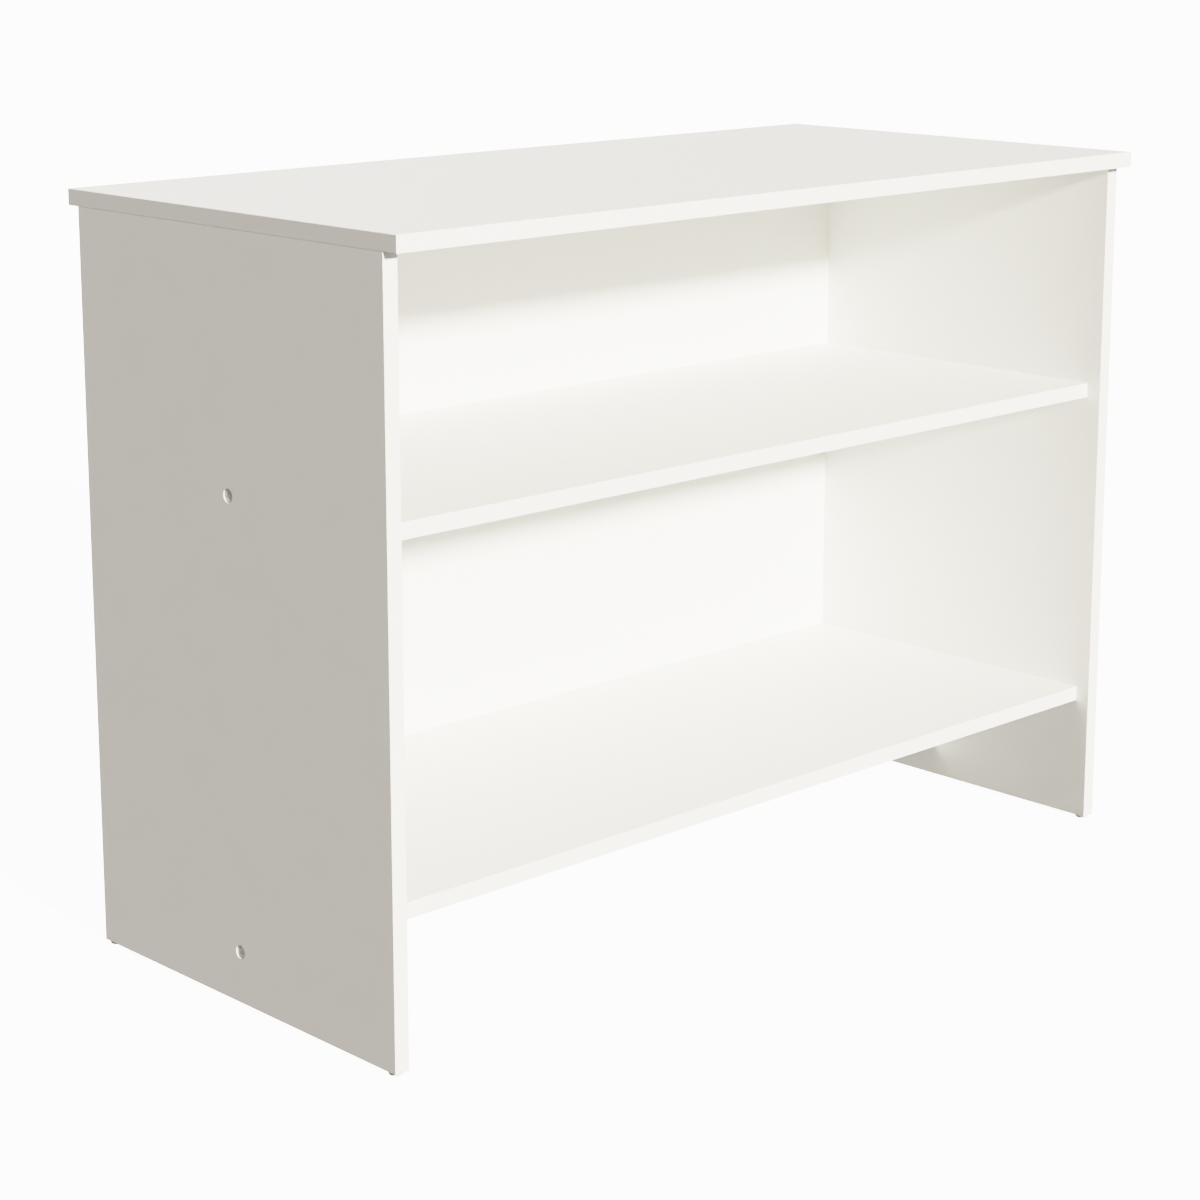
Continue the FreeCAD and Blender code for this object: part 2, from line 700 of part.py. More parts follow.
def cam_locks():
    """Four cams let into the lower shelf's underside."""
    body = new_body("cam_locks", z="sizes.bottom_shelf_low")
    line = "(" + INNER + " - sizes.cam_distance)"
    rounds = new_sketch(body, "cam_rounds", "XY_Plane")
    for row in CAM_ROWS:
        draw_circle(rounds, line, row, "sizes.cam_diameter")
    pad(body, rounds, "sizes.cam_height")
    crosses = new_sketch(body, "cam_crosses", "XY_Plane")
    for row in CAM_ROWS:
        draw_cross(crosses, line, row, "sizes.cam_cross_length", "sizes.cam_cross_width")
    pocket(body, crosses, "sizes.cam_cross_depth", with_normal=True)
    beyond = "(" + line + " + sizes.cam_diameter)"
    channels = new_sketch(body, "cam_channels", "YZ_Plane", beyond)
    for row in CAM_ROWS:
        draw_circle(channels, row, "(sizes.board / 2)", "sizes.cam_channel")
    pocket(body, channels, "(sizes.cam_diameter + sizes.bolt_head_thickness)")
    mirror_whole(body)


def cam_bolts():
    """Bolts screwed into the sides; each one's head sits in a cam."""
    level = "(sizes.bottom_shelf_low + sizes.board / 2)"
    body = new_body("cam_bolts", y=CAM_ROWS[0], z=level)
    head_start = "(" + INNER + " - sizes.cam_distance - sizes.bolt_head_thickness / 2)"
    head_end = "(" + head_start + " + sizes.bolt_head_thickness)"
    neck_end = "(" + head_end + " + sizes.bolt_neck_length)"
    collar_start = "(" + INNER + " - sizes.bolt_collar_thickness)"
    thread_end = "(" + INNER + " + sizes.bolt_thread_length)"
    steps = (
        (head_start, head_end, "(sizes.bolt_head_diameter / 2)"),
        (head_end, neck_end, "(sizes.bolt_neck_diameter / 2)"),
        (neck_end, collar_start, "(sizes.bolt_shank_diameter / 2)"),
        (collar_start, INNER, "(sizes.bolt_collar_diameter / 2)"),
        (INNER, thread_end, "(sizes.bolt_thread_diameter / 2)"),
    )
    points = [(head_start, "0")]
    for start, end, radius in steps:
        points.append((start, radius))
        points.append((end, radius))
    points.append((thread_end, "0"))
    turn(body, "cam_bolt", "XZ_Plane", "H_Axis", points)
    repeat_whole(body, "Y_Axis", "(" + CAM_ROWS[1] + " - " + CAM_ROWS[0] + ")")
    mirror_whole(body)


# ---------------------------------------------------------------- brackets and their screws


def top_bracket(name, sign, row):
    """A bent steel angle in the corner between a side and the top, with a hole in each leg."""
    body = new_body(name, sign + INNER, row, TOP_LOW)
    inwards = "" if sign else "-"
    leg = "sizes.bracket_leg"
    plate = "sizes.bracket_plate"
    outline = new_sketch(body, name + "_angle", "XZ_Plane", "-(sizes.bracket_width / 2)")
    draw_outline(outline, (
        ("0", "0"),
        (inwards + leg, "0"),
        (inwards + leg, "-" + plate),
        (inwards + plate, "-" + plate),
        (inwards + plate, "-" + leg),
        ("0", "-" + leg),
    ))
    angle = pad(body, outline, "sizes.bracket_width")
    thickness = worth(plate)

    def outside_bend(edge):
        middle = edge.CenterOfMass
        return same(middle.x, 0) and same(middle.z, 0)

    def inside_bend(edge):
        middle = edge.CenterOfMass
        return same(abs(middle.x), thickness) and same(abs(middle.z), thickness)

    def free_corner(edge):
        """The short edges through the plate at the ends of both legs."""
        middle = edge.CenterOfMass
        reach = max(abs(middle.x), abs(middle.z))
        return same(edge.Length, thickness) and same(reach, worth(leg))

    bent = dress(body, "Fillet", angle, name + "_bend", "Radius",
                 "sizes.bracket_bend", outside_bend)
    folded = dress(body, "Fillet", bent, name + "_fold", "Radius",
                   "(sizes.bracket_bend - " + plate + ")", inside_bend)
    dress(body, "Fillet", folded, name + "_corners", "Radius",
          "sizes.bracket_corner", free_corner)
    distance = "sizes.bracket_hole_distance"
    up_hole = new_sketch(body, name + "_up_hole", "XY_Plane")
    draw_circle(up_hole, inwards + distance, "0", "sizes.bracket_hole")
    pocket(body, up_hole, "(2 * " + plate + ")")
    side_hole = new_sketch(body, name + "_side_hole", "YZ_Plane")
    draw_circle(side_hole, "0", "-" + distance, "sizes.bracket_hole")
    pocket(body, side_hole, "(2 * " + plate + ")", with_normal=sign == "-")


def bracket_screws(name, face, offset, place, upright):
    """One domed cross-head screw in each bracket. The profile runs from the head, through
    the bracket's plate, into the board whose surface is at face; upright ones point up and
    the others point out of the hutch."""
    body = new_body(name, *place)
    under_head = "(" + face + " - sizes.bracket_plate)"
    head_top = "(" + under_head + " - sizes.wood_screw_head_height)"
    tip = "(" + under_head + " + sizes.wood_screw_length)"
    radius = "(sizes.wood_screw_diameter / 2)"
    head_radius = "(sizes.wood_screw_head / 2)"
    profile = (
        (head_top, "0"),
        (head_top, head_radius),
        (under_head, head_radius),
        (under_head, radius),
        ("(" + tip + " - sizes.wood_screw_point)", radius),
        (tip, "0"),
    )
    plane, axis, along, cross_plane = "XZ_Plane", "H_Axis", "x", "YZ_Plane"
    if upright:
        plane, axis, along, cross_plane = "YZ_Plane", "V_Axis", "z", "XY_Plane"
        profile = [(out, level) for level, out in profile]
    screw = turn(body, name + "_profile", plane, axis, profile, offset)
    top_level = worth(head_top)

    def rim(edge):
        at_top = same(getattr(edge.CenterOfMass, along), top_level)
        return at_top and edge.Curve.TypeId == "Part::GeomCircle"

    dress(body, "Fillet", screw, name + "_dome", "Radius", "sizes.wood_screw_dome", rim)
    cross = new_sketch(body, name + "_cross", cross_plane, head_top)
    centre = offset if upright else "0"
    draw_cross(cross, centre, "0", "sizes.wood_screw_slot_length", "sizes.wood_screw_slot")
    pocket(body, cross, "sizes.wood_screw_slot_depth", with_normal=True)
    repeat_whole(body, "Y_Axis", "(" + BRACKET_ROWS[1] + " - (" + BRACKET_ROWS[0] + "))")
    mirror_whole(body)


def brackets():
    for side, sign in (("left", "-"), ("right", "")):
        for place, row in zip(("front", "rear"), BRACKET_ROWS):
            top_bracket("top_bracket_" + place + "_" + side, sign, row)
    line = "(" + INNER + " - sizes.bracket_hole_distance)"
    bracket_screws("bracket_top_screws", "0", line, ("0", BRACKET_ROWS[0], TOP_LOW), True)
    level = "(" + TOP_LOW + " - sizes.bracket_hole_distance)"
    bracket_screws("bracket_side_screws", INNER, "0", ("0", BRACKET_ROWS[0], level), False)


# ---------------------------------------------------------------- nails and glides


def back_panel_nails():
    """Flat-headed nails through the back panel into the rear edges of both shelves."""
    first = "(-sizes.nail_spacing * %g)" % ((NAILS_PER_SHELF - 1) / 2)
    low_row = "(sizes.bottom_shelf_low + sizes.board / 2)"
    body = new_body("back_panel_nails", z=low_row, y=BACK_FACE)
    under_head = "sizes.back_board"
    head_end = "(sizes.back_board + sizes.nail_head_thickness)"
    tip = "(sizes.back_board - sizes.nail_length)"
    radius = "(sizes.nail_diameter / 2)"
    head_radius = "(sizes.nail_head / 2)"
    turn(body, "back_nail", "YZ_Plane", "H_Axis", (
        (tip, "0"),
        ("(" + tip + " + sizes.nail_point)", radius),
        (under_head, radius),
        (under_head, head_radius),
        (head_end, head_radius),
        (head_end, "0"),
    ), first)
    run = "(sizes.nail_spacing * %d)" % (NAILS_PER_SHELF - 1)
    repeat_whole(body, "X_Axis", run, NAILS_PER_SHELF)
    repeat_whole(body, "Z_Axis", "(sizes.middle_shelf_low - sizes.bottom_shelf_low)")


def glide(name, sign, row):
    """A nail-on glide under one end of a side panel."""
    line = sign + "(" + INNER + " + sizes.board / 2)"
    body = new_body(name, line, row)
    radius = "(sizes.glide_diameter / 2)"
    well = "(sizes.glide_well / 2)"
    bore = "(sizes.pin_diameter / 2)"
    disc = turn(body, name + "_profile", "XZ_Plane", "V_Axis", (
        (bore, "sizes.glide_height"),
        (radius, "sizes.glide_height"),
        (radius, "0"),
        (well, "0"),
        (well, "sizes.glide_well_depth"),
        (bore, "sizes.glide_well_depth"),
    ))

    def lower_rim(edge):
        circle = edge.Curve.TypeId == "Part::GeomCircle"
        return circle and same(edge.CenterOfMass.z, 0) and same(edge.Curve.Radius, worth(radius))

    dress(body, "Fillet", disc, name + "_round", "Radius", "sizes.glide_round", lower_rim)


def glides():
    for side, sign in (("left", "-"), ("right", "")):
        for place, row in zip(("front", "rear"), GLIDE_ROWS):
            glide("glide_" + place + "_" + side, sign, row)
    line = "(" + INNER + " + sizes.board / 2)"
    body = new_body("glide_pins", y=GLIDE_ROWS[0])
    head_low = "(sizes.glide_well_depth - sizes.pin_head_thickness)"
    head_high = "sizes.glide_well_depth"
    tip = "(" + head_high + " + sizes.pin_length)"
    radius = "(sizes.pin_diameter / 2)"
    head_radius = "(sizes.pin_head / 2)"
    turn(body, "glide_pin", "YZ_Plane", "V_Axis", (
        ("0", head_low),
        (head_radius, head_low),
        (head_radius, head_high),
        (radius, head_high),
        (radius, "(" + tip + " - sizes.pin_point)"),
        ("0", tip),
    ), line)
    repeat_whole(body, "Y_Axis", "(" + GLIDE_ROWS[1] + " - " + GLIDE_ROWS[0] + ")")
    mirror_whole(body)


# ---------------------------------------------------------------- whole hutch


def build():
    fill_sheet()
    top_panel()
    side_panel("left_side_panel", "-")
    side_panel("right_side_panel", "")
    middle_shelf()
    bottom_shelf()
    centre_rail()
    back_panel()
    top_bands()
    side_bands("left_side", "-" + OUTER, "-" + INNER)
    side_bands("right_side", INNER, OUTER)
    shelf_band("middle_shelf_edge_band", "sizes.middle_shelf_low")
    shelf_band("bottom_shelf_edge_band", "sizes.bottom_shelf_low")
    rail_band()
    dowels()
    side_screws()
    side_screw_caps()
    cam_locks()
    cam_bolts()
    brackets()
    back_panel_nails()
    glides()
    doc.recompute()


def check():
    """Stop before anything is written if any object failed or any piece is not sound."""
    for part in doc.Objects:
        if "Invalid" in part.State or "Error" in part.State:
            raise RuntimeError(part.Name + " failed: " + ", ".join(part.State))
    for node in nodes:
        shape = node.Shape
        if shape.isNull() or not shape.isValid() or not shape.Solids:
            raise RuntimeError(node.Label + " is not a sound solid")


def export():
    os.makedirs("parts", exist_ok=True)
    for node in nodes:
        node.Shape.exportStep("parts/" + node.Label + ".step")
        solids = len(node.Shape.Solids)
        print("%-26s %2d solid(s) %12.1f mm3" % (node.Label, solids, node.Shape.Volume))


build()
check()
export()
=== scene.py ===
import math

import bpy
from mathutils import Matrix, Vector


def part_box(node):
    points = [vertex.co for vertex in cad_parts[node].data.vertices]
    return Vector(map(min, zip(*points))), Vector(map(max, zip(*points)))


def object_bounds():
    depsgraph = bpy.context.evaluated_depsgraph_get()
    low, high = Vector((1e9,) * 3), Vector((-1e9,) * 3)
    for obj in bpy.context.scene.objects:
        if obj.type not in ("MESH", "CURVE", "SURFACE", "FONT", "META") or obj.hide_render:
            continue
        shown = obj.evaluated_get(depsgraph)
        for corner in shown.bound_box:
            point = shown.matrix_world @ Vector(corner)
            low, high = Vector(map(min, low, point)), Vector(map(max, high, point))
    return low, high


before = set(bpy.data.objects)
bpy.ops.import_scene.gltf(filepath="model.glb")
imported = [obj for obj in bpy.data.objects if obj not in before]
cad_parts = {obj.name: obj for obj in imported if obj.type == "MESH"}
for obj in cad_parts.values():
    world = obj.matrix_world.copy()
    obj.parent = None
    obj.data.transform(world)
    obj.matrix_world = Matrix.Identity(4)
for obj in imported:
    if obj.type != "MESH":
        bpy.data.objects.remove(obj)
cad_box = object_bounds()

MM = 0.001
X_AXIS, Y_AXIS, Z_AXIS = 0, 1, 2


# ---------------------------------------------------------------- camera

# Where the camera stands and looks, in metres, from the run of the hutch's straight edges.
CAMERA_PLACE = Vector((-1.9789, -2.0133, 1.0400))
CAMERA_AIM = Vector((0.67613, 0.70673, -0.20828))
CAMERA_LENS = 84.11
CAMERA_SENSOR = 36.0
CAMERA_SHIFT = (0.0045, -0.1073)
WORLD_UP = Vector((0, 0, 1))


def make_camera():
    data = bpy.data.cameras.new("camera")
    data.sensor_width = CAMERA_SENSOR
    data.lens = CAMERA_LENS
    data.shift_x, data.shift_y = CAMERA_SHIFT
    camera = bpy.data.objects.new("camera", data)
    backwards = -CAMERA_AIM.normalized()
    right = WORLD_UP.cross(backwards).normalized()
    up = backwards.cross(right)
    turn = Matrix((right, up, backwards)).transposed()
    camera.matrix_world = Matrix.Translation(CAMERA_PLACE) @ turn.to_4x4()
    bpy.context.scene.collection.objects.link(camera)
    bpy.context.scene.camera = camera


# ---------------------------------------------------------------- light

# A lamp's azimuth is 0 straight ahead of the front and 90 at the right side.
KEY_LAMP = {
    "name": "key_lamp",
    "azimuth": -6,
    "height": 20.2,
    "softness": 5,
    "strength": 10.6,
    "color": (1.0, 0.92, 0.79),
}
REAR_LAMP = {
    "name": "rear_lamp",
    "azimuth": 150,
    "height": 35,
    "softness": 20,
    "strength": 0.95,
    "color": (1.0, 0.937, 0.93),
}

# The room around: one soft warm white, brighter or dimmer towards each side.
ROOM_WHITE = (1.0, 0.937, 0.93)
ROOM_EVEN = 0.06
ROOM = {
    "above": ((0, 0, 1), 0.32),
    "below": ((0, 0, -1), 0.17),
    "behind": ((0, 1, 0), 0.25),
    "right": ((1, 0, 0), 0.67),
}


def make_lamp(name, azimuth, height, softness, strength, color):
    data = bpy.data.lights.new(name, "SUN")
    data.energy = strength
    data.angle = math.radians(softness)
    data.color = color
    lamp = bpy.data.objects.new(name, data)
    side, rise = math.radians(azimuth), math.radians(height)
    flat = math.cos(rise)
    source = Vector((math.sin(side) * flat, -math.cos(side) * flat, math.sin(rise)))
    lamp.rotation_euler = source.to_track_quat("Z", "Y").to_euler()
    bpy.context.scene.collection.objects.link(lamp)


def feed(tree, socket, value):
    """Sets a socket to a plain value, or links it to the socket given as its value."""
    if isinstance(value, bpy.types.NodeSocket):
        tree.links.new(value, socket)
    else:
        socket.default_value = value


def math_node(tree, operation, *values):
    """A sum of the given kind; each value is a number or a socket."""
    node = tree.nodes.new("ShaderNodeMath")
    node.operation = operation
    for socket, value in zip(node.inputs, values):
        feed(tree, socket, value)
    return node.outputs[0]


def make_room():
    """A soft room: the light from each side falls off with the angle away from its direction."""
    world = bpy.data.worlds.new("room")
    bpy.context.scene.world = world
    world.use_nodes = True
    tree = world.node_tree
    tree.nodes.clear()
    out = tree.nodes.new("ShaderNodeOutputWorld")
    spot = tree.nodes.new("ShaderNodeTexCoord").outputs["Generated"]
    total = ROOM_EVEN
    for axis, strength in ROOM.values():
        lean = tree.nodes.new("ShaderNodeVectorMath")
        lean.operation = "DOT_PRODUCT"
        lean.inputs[1].default_value = axis
        tree.links.new(spot, lean.inputs[0])
        towards = math_node(tree, "MAXIMUM", lean.outputs["Value"], 0.0)
        share = math_node(tree, "MULTIPLY", towards, strength)
        total = math_node(tree, "ADD", total, share)
    shade = tree.nodes.new("ShaderNodeBackground")
    shade.inputs["Color"].default_value = (*ROOM_WHITE, 1)
    tree.links.new(total, shade.inputs["Strength"])
    tree.links.new(shade.outputs[0], out.inputs["Surface"])


# ---------------------------------------------------------------- floor

FLOOR_REACH = 40.0
FLOOR_WHITE = (0.9, 0.9, 0.9, 1)
FLOOR_ROUGHNESS = 0.9
FLOOR_SHEEN = 0.1
FLOOR_GLOW = 5.0
GLOW_WHITE = (1, 1, 1, 1)


def make_floor():
    """A plain white floor, lit from within so that it stays near white to its far edge."""
    mesh = bpy.data.meshes.new("floor")
    reach = FLOOR_REACH
    corners = [(-reach, -reach, 0), (reach, -reach, 0), (reach, reach, 0), (-reach, reach, 0)]
    mesh.from_pydata(corners, [], [(0, 1, 2, 3)])
    floor = bpy.data.objects.new("floor", mesh)
    bpy.context.scene.collection.objects.link(floor)
    material = bpy.data.materials.new("floor_white")
    material.use_nodes = True
    shader = material.node_tree.nodes["Principled BSDF"]
    shader.inputs["Base Color"].default_value = FLOOR_WHITE
    shader.inputs["Roughness"].default_value = FLOOR_ROUGHNESS
    shader.inputs["Specular IOR Level"].default_value = FLOOR_SHEEN
    shader.inputs["Emission Color"].default_value = GLOW_WHITE
    shader.inputs["Emission Strength"].default_value = FLOOR_GLOW
    mesh.materials.append(material)
    # the room's own light from below stands for what the floor throws back
    floor.visible_diffuse = False
    floor.visible_glossy = False
    floor.visible_shadow = False


# ---------------------------------------------------------------- material nodes

# A noise keeps to this range nearly everywhere.
NOISE_LOW, NOISE_HIGH = 0.3, 0.7


class Finish:
    """One procedural material, built up a node at a time in the hutch's own metres."""

    def __init__(self, name):
        self.material = bpy.data.materials.new(name)
        self.material.use_nodes = True
        self.tree = self.material.node_tree
        self.shader = self.tree.nodes["Principled BSDF"]
        self.spot = self.node("ShaderNodeTexCoord").outputs["Object"]

    def node(self, kind, inputs=None, **settings):
        node = self.tree.nodes.new(kind)
        for key, value in settings.items():
            setattr(node, key, value)
        for key, value in (inputs or {}).items():
            feed(self.tree, node.inputs[key], value)
        return node

    def set(self, **inputs):
        """Sets the shader's sockets; an underscore stands for a space."""
        for key, value in inputs.items():
            feed(self.tree, self.shader.inputs[key.replace("_", " ")], value)

    def math(self, operation, *values):
        return math_node(self.tree, operation, *values)

    def grid(self, grain):
        """The spot measured in grains, whose size along X, Y and Z is given in millimetres."""
        scale = tuple(1 / (size * MM) for size in grain)
        return self.node("ShaderNodeVectorMath", {0: self.spot, 1: scale}, operation="MULTIPLY").outputs[0]

    def noise(self, grain, detail=2.0, roughness=0.5):
        inputs = {"Vector": self.grid(grain), "Scale": 1.0, "Detail": detail, "Roughness": roughness}
        return self.node("ShaderNodeTexNoise", inputs).outputs["Fac"]

    def cells(self, grain):
        inputs = {"Vector": self.grid(grain), "Scale": 1.0}
        return self.node("ShaderNodeTexVoronoi", inputs, feature="F1")

    def remap(self, value, low, high):
        """Spreads a noise over the range from low to high."""
        spread = {"From Min": NOISE_LOW, "From Max": NOISE_HIGH, "To Min": low, "To Max": high}
        return self.node("ShaderNodeMapRange", {"Value": value, **spread}).outputs["Result"]

    def mix(self, data_type, factor, first, second):
        node = self.node("ShaderNodeMix", data_type=data_type)
        sockets = [socket for socket in node.inputs if socket.enabled]
        for socket, value in zip(sockets, (factor, first, second)):
            feed(self.tree, socket, value)
        return next(socket for socket in node.outputs if socket.enabled)

    def blend(self, factor, first, second):
        """A colour between two others; each is a colour or a socket."""
        colors = [(*value, 1) if isinstance(value, tuple) else value for value in (first, second)]
        return self.mix("RGBA", factor, *colors)

    def ramp(self, value, *colors):
        """Even steps from the first colour to the last."""
        node = self.node("ShaderNodeValToRGB", {"Fac": value})
        steps = node.color_ramp.elements
        while len(steps) < len(colors):
            steps.new(0.5)
        for index, color in enumerate(colors):
            steps[index].position = index / (len(colors) - 1)
            steps[index].color = (*color, 1)
        return node.outputs["Color"]

    def bump(self, height, depth, before=None):
        """Raises the surface by up to depth millimetres."""
        inputs = {"Height": height, "Distance": depth * MM, "Strength": 1.0}
        if before is not None:
            inputs["Normal"] = before
        return self.node("ShaderNodeBump", inputs).outputs["Normal"]

    def along(self, axis):
        return self.node("ShaderNodeSeparateXYZ", {0: self.spot}).outputs[axis]


# ---------------------------------------------------------------- boards

WHITE = (0.913, 0.920, 0.890)
WHITE_SHADE = (0.899, 0.906, 0.874)
CHIP_TONES = ((0.30, 0.20, 0.11), (0.52, 0.38, 0.23), (0.66, 0.51, 0.33), (0.76, 0.63, 0.44))
DUST_TONES = ((0.50, 0.38, 0.24), (0.66, 0.52, 0.35))
FIBRE_TONES = ((0.27, 0.17, 0.10), (0.40, 0.27, 0.16))
SKIN = 0.15 * MM
FINE_LAYER = 2.6 * MM
RECESS_RING = 0.4 * MM

# Sizes in millimetres of the marks in a board: length in its plane, then thickness.
CHIP = (3.2, 0.6)
DUST = (0.8, 0.35)
FIBRE = (1.4, 0.25)
CLOUD, SMEAR, PEARL = 45, 18, 0.9
PEARL_DEPTH, RAW_DEPTH = 0.02, 0.35
SATIN = (0.44, 0.54)
RAW_ROUGHNESS = 0.88


def flat_grain(axis, length, thickness):
    """Grains that lie flat in a board whose thin axis is given."""
    return tuple(thickness if index == axis else length for index in range(3))


def chipboard(finish, axis, depth):
    """Raw three-layer chipboard: coarse chips inside, fine dust near both faces."""
    chips = finish.cells(flat_grain(axis, *CHIP))
    tone = finish.node("ShaderNodeSeparateColor", {0: chips.outputs["Color"]}).outputs[0]
    coarse = finish.ramp(tone, *CHIP_TONES)
    dust = finish.ramp(finish.noise(flat_grain(axis, *DUST), detail=4.0), *DUST_TONES)
    near_face = finish.math("GREATER_THAN", depth, -FINE_LAYER)
    color = finish.blend(near_face, coarse, dust)
    height = finish.math("SUBTRACT", tone, chips.outputs["Distance"])
    return color, height


def fibreboard(finish, axis, depth):
    """Raw hard fibreboard: felted brown fibres."""
    felt = finish.noise(flat_grain(axis, *FIBRE), detail=5.0, roughness=0.65)
    return finish.ramp(felt, *FIBRE_TONES), felt


def white_holes(finish):
    """One where the spot is inside a side screw's recess, whose wall is sealed white."""
    low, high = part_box("side_screw_caps")
    radius = (high.y - low.y) / 2
    middle = (high.y + low.y) / 2
    reach = radius + RECESS_RING
    inside = None
    for level in (low.z + radius, high.z - radius):
        away_y = finish.math("SUBTRACT", finish.along(Y_AXIS), middle)
        away_z = finish.math("SUBTRACT", finish.along(Z_AXIS), level)
        squares = [finish.math("MULTIPLY", away, away) for away in (away_y, away_z)]
        hole = finish.math("LESS_THAN", finish.math("ADD", *squares), reach ** 2)
        inside = hole if inside is None else finish.math("MAXIMUM", inside, hole)
    return inside


def board(name, axis, core=chipboard, holes=False):
    """A white-faced board: a hard satin skin on both faces, its raw core on every cut edge."""
    finish = Finish(name)
    low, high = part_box(name)
    middle = (low[axis] + high[axis]) / 2
    half = (high[axis] - low[axis]) / 2
    from_middle = finish.math("ABSOLUTE", finish.math("SUBTRACT", finish.along(axis), middle))
    depth = finish.math("SUBTRACT", from_middle, half)
    skin = finish.math("GREATER_THAN", depth, -SKIN)
    if holes:
        skin = finish.math("MAXIMUM", skin, white_holes(finish))
    raw_color, raw_height = core(finish, axis, depth)

    clouds = finish.noise((CLOUD,) * 3, detail=3.0)
    pearl = finish.noise((PEARL,) * 3, detail=2.0, roughness=0.6)
    white = finish.blend(finish.remap(clouds, 0.0, 1.0), WHITE, WHITE_SHADE)
    smear = finish.noise((SMEAR,) * 3, detail=3.0, roughness=0.6)
    satin = finish.remap(smear, *SATIN)
    skin_normal = finish.bump(pearl, PEARL_DEPTH)
    raw_normal = finish.bump(raw_height, RAW_DEPTH)
    finish.set(
        Base_Color=finish.blend(skin, raw_color, white),
        Roughness=finish.mix("FLOAT", skin, RAW_ROUGHNESS, satin),
        Normal=finish.mix("VECTOR", skin, raw_normal, skin_normal),
    )
    return finish.material


# ---------------------------------------------------------------- edge bands

BAND_WHITE = (0.870, 0.871, 0.850)
BAND_SHADE = (0.850, 0.851, 0.828)
# The seam line's tone is partly the glue's own colour and partly painted shade along the joint between
# band and board.
SEAM_GLUE_AND_SHADE_TONE = (0.62, 0.60, 0.56)
SEAM_GLUE_AND_SHADE_WIDTH = 0.08 * MM

# Sizes in millimetres of the marks on a band: along it, then across.
BAND_LINE = (60.0, 0.35)
BAND_RIPPLE = (14.0, 5.0)
BAND_LINE_DEPTH, BAND_RIPPLE_DEPTH = 0.008, 0.01
BAND_ROUGHNESS = (0.34, 0.44)


def long_grain(axis, length, width):
    """Grains that run along an axis."""
    return tuple(length if index == axis else width for index in range(3))


def thin_and_long(name):
    """A band's thin axis and long axis."""
    low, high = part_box(name)
    lengths = [high[axis] - low[axis] for axis in range(3)]
    return lengths.index(min(lengths)), lengths.index(max(lengths))


def edge_band(name):
    """White plastic banding: fine lines along its length, and a dark line where it meets the board that is
    partly the glue's own tone and partly painted shade of the seam.
    """
    finish = Finish(name)
    thin, long = thin_and_long(name)
    low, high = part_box(name)
    centre = (cad_box[0][thin] + cad_box[1][thin]) / 2
    seam = min(low[thin], high[thin], key=lambda plane: abs(plane - centre))
    to_seam = finish.math("ABSOLUTE", finish.math("SUBTRACT", finish.along(thin), seam))
    # a thin dark line at the seam: the glue's own tone, also painted shade of the joint
    glue_and_seam_shade = finish.math("LESS_THAN", to_seam, SEAM_GLUE_AND_SHADE_WIDTH)

    lines = finish.noise(long_grain(long, *BAND_LINE), detail=3.0)
    ripple = finish.noise(long_grain(long, *BAND_RIPPLE), detail=2.0)
    white = finish.blend(finish.remap(ripple, 0.0, 1.0), BAND_WHITE, BAND_SHADE)
    finish.set(
        Base_Color=finish.blend(glue_and_seam_shade, white, SEAM_GLUE_AND_SHADE_TONE),
        Roughness=finish.remap(lines, *BAND_ROUGHNESS),
        Normal=finish.bump(lines, BAND_LINE_DEPTH, finish.bump(ripple, BAND_RIPPLE_DEPTH)),
    )
    return finish.material


# ---------------------------------------------------------------- fittings

# Each fitting's marks: sizes and depths in millimetres, then tones and roughness.
WOOD_GRAIN, WOOD_FLECK = (30.0, 0.7), (2.4, 0.45)
WOOD_FLECK_REACH = 0.22
WOOD_GRAIN_DEPTH = 0.05
WOOD_TONES = ((0.58, 0.40, 0.24), (0.72, 0.55, 0.36), (0.79, 0.63, 0.44))
WOOD_FLECK_TONE = (0.47, 0.30, 0.17)
WOOD_ROUGHNESS = (0.58, 0.70)

ZINC_PATCH, ZINC_GRAIN, ZINC_GRAIN_DEPTH = 4.5, 0.25, 0.006
ZINC_TONES = ((0.56, 0.58, 0.60), (0.68, 0.69, 0.70), (0.72, 0.71, 0.67))
ZINC_ROUGHNESS = (0.27, 0.40)

CAST_GRAIN, CAST_PIT, CAST_STAIN, CAST_DEPTH = 0.5, 1.1, 6, 0.03
CAST_PIT_REACH = 0.16
CAST_TONES = ((0.48, 0.49, 0.50), (0.63, 0.64, 0.65))
CAST_PIT_TONE = (0.30, 0.30, 0.31)
CAST_ROUGHNESS = (0.42, 0.56)

STEEL_RING, STEEL_OIL, STEEL_RING_DEPTH = (6.0, 0.2), 2.0, 0.006
STEEL_TONES = ((0.36, 0.35, 0.34), (0.60, 0.60, 0.60))
STEEL_ROUGHNESS = (0.30, 0.46)

SPARK, SPARK_DEPTH, FLOW = 0.22, 0.012, 5
PLASTIC_SPREAD = 0.05
# The caps' light grey is a near-white plastic darkened as painted shade for the recess they sit in; the
# two cap tones vary at random.
CAP_LIGHT_WITH_PAINTED_SHADE, CAP_DARK_WITH_PAINTED_SHADE, CAP_ROUGHNESS = (0.79, 0.78, 0.765), (0.76, 0.75, 0.73), 0.45
GLIDE_LIGHT, GLIDE_DARK, GLIDE_ROUGHNESS = (0.82, 0.81, 0.78), (0.78, 0.77, 0.735), 0.42


def beech(name, long):
    """Turned beech: straight grain and short dark flecks along the dowel."""
    finish = Finish(name)
    grain = finish.noise(long_grain(long, *WOOD_GRAIN), detail=4.0, roughness=0.6)
    flecks = finish.cells(long_grain(long, *WOOD_FLECK))
    fleck = finish.math("LESS_THAN", flecks.outputs["Distance"], WOOD_FLECK_REACH)
    finish.set(
        Base_Color=finish.blend(fleck, finish.ramp(grain, *WOOD_TONES), WOOD_FLECK_TONE),
        Roughness=finish.remap(grain, *WOOD_ROUGHNESS),
        Normal=finish.bump(grain, WOOD_GRAIN_DEPTH),
    )
    return finish.material


